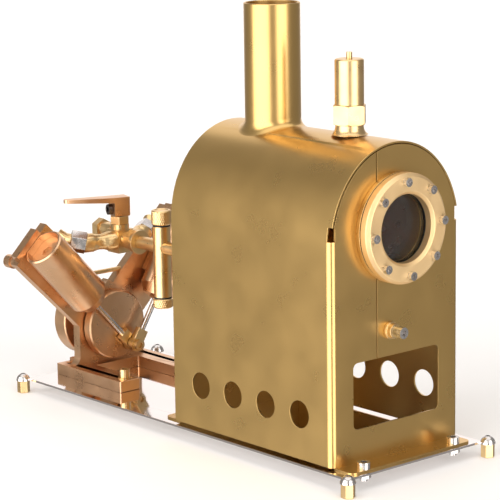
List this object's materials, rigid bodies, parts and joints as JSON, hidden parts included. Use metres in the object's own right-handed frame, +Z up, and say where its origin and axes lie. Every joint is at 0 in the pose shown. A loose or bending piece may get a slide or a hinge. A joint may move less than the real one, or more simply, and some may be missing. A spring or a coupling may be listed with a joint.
{
  "type": "model steam engine",
  "caption": "Spirit-fired brass boiler with a sight glass, chimney and safety valve feeding an oscillating V twin engine on a polished plate.",
  "frame": {"origin": "centre of the four feet, on the surface they stand on", "axes": "+X along the plate towards the sight glass, +Y across it, +Z up"},
  "size_m": [0.2438, 0.1098, 0.1973],
  "materials": {
    "polished_steel": "mirror polished stainless steel",
    "casing_brass": "satin brass sheet, lightly brushed",
    "machined_brass": "turned brass, bright",
    "boiler_brass": "drawn brass tube, heat tinted",
    "cast_bronze": "warm bronze, fine satin",
    "bright_steel": "bright machine steel",
    "dark_steel": "black oxide steel",
    "black_rubber": "matt black rubber",
    "clear_glass": "clear sight glass"
  },
  "bodies": {
    "chassis": {"base_plate": "polished_steel", "feet": "machined_brass", "foot_screws": "bright_steel", "casing_wrap": "casing_brass", "casing_front": "casing_brass", "casing_back": "casing_brass", "casing_screws": "bright_steel", "casing_nuts": "bright_steel", "chimney": "casing_brass", "boiler_barrel": "boiler_brass", "boiler_ends": "machined_brass", "glass_gaskets": "black_rubber", "sight_glass": "clear_glass", "sight_glass_ring": "machined_brass", "ring_screws": "bright_steel", "drain_pipe": "machined_brass", "drain_sleeve": "machined_brass", "drain_plug": "bright_steel", "safety_bush": "machined_brass", "safety_body": "machined_brass", "safety_cap": "machined_brass", "safety_spring": "bright_steel", "steam_pipe": "machined_brass", "lubricator_body": "machined_brass", "lubricator_o_rings": "black_rubber", "inlet_flange": "cast_bronze", "throttle_body": "cast_bronze", "throttle_gland": "machined_brass", "steam_branches": "cast_bronze", "union_nuts": "bright_steel", "union_tails": "machined_brass", "exhaust_stubs": "cast_bronze", "crossover_tube": "cast_bronze", "engine_base": "cast_bronze", "engine_frame": "cast_bronze", "base_screws": "machined_brass", "crank_bearing": "machined_brass", "pivot_springs": "bright_steel"},
    "crank": {"crankshaft": "bright_steel", "crank_disc": "cast_bronze", "flywheel": "cast_bronze", "flywheel_grub_screw": "dark_steel"},
    "throttle": {"throttle_spindle": "bright_steel", "throttle_lever": "cast_bronze", "lever_screw": "dark_steel"},
    "safety_valve": {"safety_stem": "machined_brass"},
    "filler_cap": {"lubricator_cap": "machined_brass"},
    "drain_cap": {"lubricator_drain_cap": "machined_brass"},
    "left_cylinder": {"cylinder_left": "cast_bronze", "cylinder_trim_left": "machined_brass", "pivot_left": "bright_steel"},
    "right_cylinder": {"cylinder_right": "cast_bronze", "cylinder_trim_right": "machined_brass", "pivot_right": "bright_steel"},
    "left_piston": {"piston_left": "machined_brass", "rod_left": "bright_steel", "rod_end_left": "machined_brass"},
    "right_piston": {"piston_right": "machined_brass", "rod_right": "bright_steel", "rod_end_right": "machined_brass"}
  },
  "joints": [
    {"name": "crank_spin", "type": "hinge", "parent": "chassis", "child": "crank", "pos_m": [-0.1, 0, 0.031], "axis": [1, 0, 0], "continuous": true},
    {"name": "throttle_turn", "type": "hinge", "parent": "chassis", "child": "throttle", "pos_m": [-0.09, 0, 0.09], "axis": [0, 0, 1], "range_deg": [-75, 15]},
    {"name": "safety_lift", "type": "slide", "parent": "chassis", "child": "safety_valve", "axis": [0, 0, 1], "range_m": [0, 0.0015], "deforming": ["safety_spring"]},
    {"name": "filler_cap_turn", "type": "hinge", "parent": "chassis", "child": "filler_cap", "pos_m": [-0.0572, 0, 0.088], "axis": [0, 0, 1], "range_deg": [0, 720]},
    {"name": "drain_cap_turn", "type": "hinge", "parent": "chassis", "child": "drain_cap", "pos_m": [-0.0572, 0, 0.048], "axis": [0, 0, 1], "range_deg": [-720, 0]},
    {"name": "left_swing", "type": "hinge", "parent": "chassis", "child": "left_cylinder", "pos_m": [-0.1, -0.03323, 0.06423], "axis": [1, 0, 0], "range_deg": [-12.36, 17.22]},
    {"name": "right_swing", "type": "hinge", "parent": "chassis", "child": "right_cylinder", "pos_m": [-0.1, 0.03323, 0.06423], "axis": [1, 0, 0], "range_deg": [-28.13, 1.45]},
    {"name": "left_stroke", "type": "slide", "parent": "left_cylinder", "child": "left_piston", "axis": [0, -0.6765, 0.7365], "range_m": [-0.00021, 0.02379]},
    {"name": "right_stroke", "type": "slide", "parent": "right_cylinder", "child": "right_piston", "axis": [0, 0.5249, 0.8512], "range_m": [-0.00813, 0.01587]}
  ]
}
